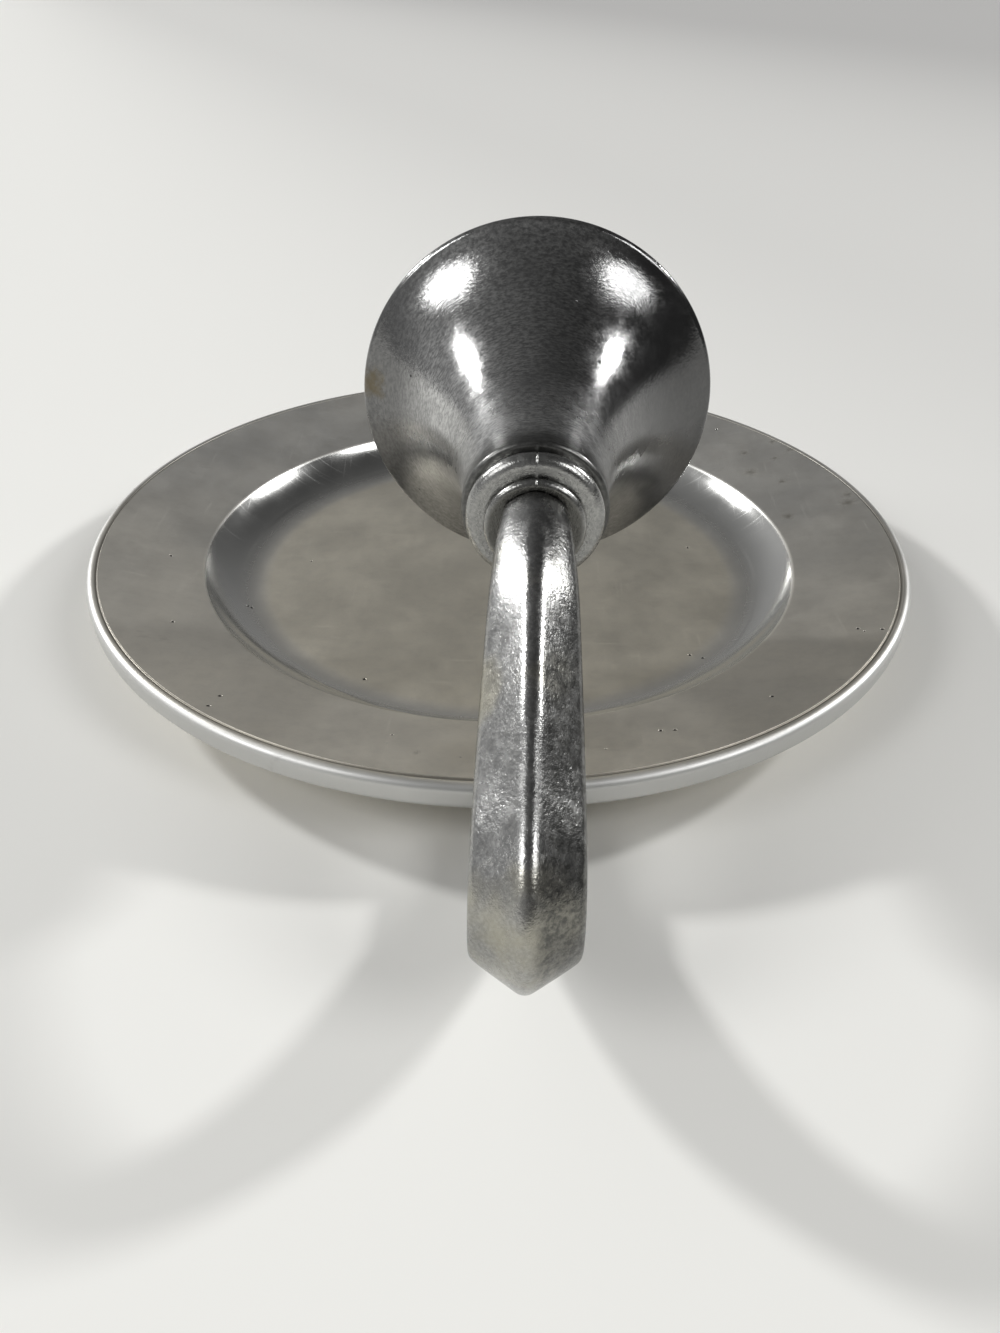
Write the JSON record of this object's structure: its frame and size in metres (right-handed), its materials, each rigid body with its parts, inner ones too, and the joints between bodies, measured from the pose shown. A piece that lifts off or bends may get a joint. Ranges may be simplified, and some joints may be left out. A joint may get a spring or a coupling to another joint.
{
  "type": "wall candle sconce",
  "caption": "Wall candle sconce: a round dished metal reflector plate with a keeled bow of an arm that comes out from behind its rim and swings round to carry a trumpet-shaped candle cup in front of it.",
  "frame": {"origin": "centre of the plate's flat back face, which lies on the wall", "axes": "+Z out of the plate's face, away from the wall; +Y up when the plate hangs, the way the cup opens; +X to the right as seen from the front when it hangs"},
  "size_m": [0.22, 0.2706, 0.1041],
  "materials": {
    "polished_plate": "worn satin polish",
    "cast_arm": "ground casting, grainy",
    "cast_collar": "polished casting",
    "turned_cup": "turned and polished, worn",
    "plated_fastener": "plain plated steel"
  },
  "bodies": {
    "root": {"reflector_plate": "polished_plate", "sconce_arm": "cast_arm", "arm_collar": "cast_collar", "candle_cup": "turned_cup", "cup_screw": "plated_fastener", "cup_washer": "plated_fastener", "foot_screw_1": "plated_fastener", "foot_screw_2": "plated_fastener"}
  },
  "joints": []
}
